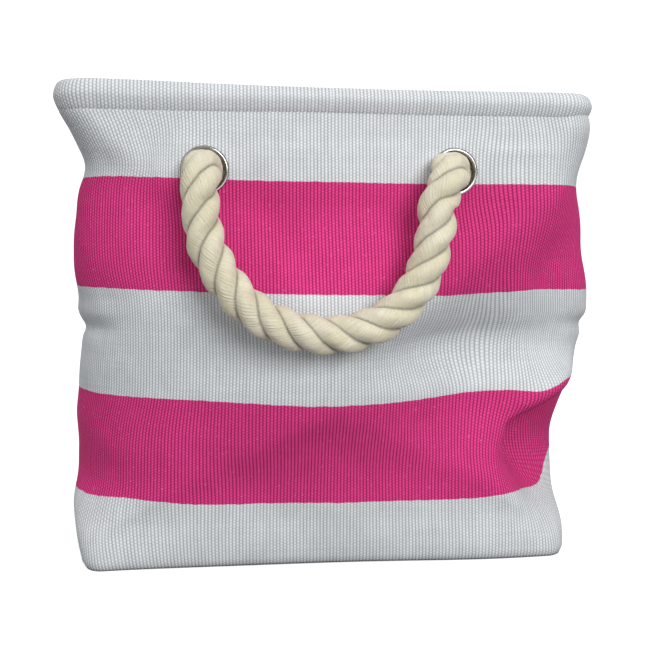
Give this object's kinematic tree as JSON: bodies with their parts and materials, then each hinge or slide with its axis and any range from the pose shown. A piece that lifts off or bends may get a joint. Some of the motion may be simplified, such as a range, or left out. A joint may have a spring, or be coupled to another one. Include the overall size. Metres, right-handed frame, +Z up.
{
  "type": "canvas tote bag",
  "caption": "Soft square canvas tote bag with a stiff tubular rim, broad stripes, a flat stiffened base and thick rope handles through metal eyelets.",
  "frame": {"origin": "middle of the bag's resting face, on the surface that it stands on", "axes": "+Z up from the base to the rim, +X to the bag's right seen from the front, -Y towards the front, where one handle hangs; the back handle is the front one turned half round +Z"},
  "size_m": [0.3056, 0.316, 0.27],
  "materials": {
    "canvas": "coarse coated canvas weave, white with two broad hot pink stripes",
    "tape": "woven cotton tape",
    "lining": "smooth coated cloth",
    "board": "dense grey-brown board",
    "rope": "three-strand cotton rope, cream",
    "eyelet": "polished",
    "wire": "drawn wire",
    "ferrule": "crimped"
  },
  "bodies": {
    "bag": {"front_panel": "canvas", "back_panel": "canvas", "base_panel": "canvas", "rim_binding": "canvas", "rim_wire": "wire", "rim_ferrule": "ferrule", "left_seam_binding": "tape", "right_seam_binding": "tape", "base_seam_binding": "tape", "base_board": "board", "base_lining": "lining", "front_reinforcement": "tape", "back_reinforcement": "tape", "front_left_eyelet": "eyelet", "front_left_washer": "eyelet", "front_left_rope_end": "rope", "front_right_eyelet": "eyelet", "front_right_washer": "eyelet", "front_right_rope_end": "rope", "back_left_eyelet": "eyelet", "back_left_washer": "eyelet", "back_left_rope_end": "rope", "back_right_eyelet": "eyelet", "back_right_washer": "eyelet", "back_right_rope_end": "rope"},
    "front_handle": {"front_handle_rope": "rope"},
    "back_handle": {"back_handle_rope": "rope"}
  },
  "joints": [
    {"name": "front_handle_swing", "type": "hinge", "parent": "bag", "child": "front_handle", "pos_m": [0, -0.13353, 0.21973], "axis": [-1, 0, 0], "range_deg": [0, 170]},
    {"name": "back_handle_swing", "type": "hinge", "parent": "bag", "child": "back_handle", "pos_m": [0, 0.13353, 0.21973], "axis": [1, 0, 0], "range_deg": [0, 170]}
  ]
}
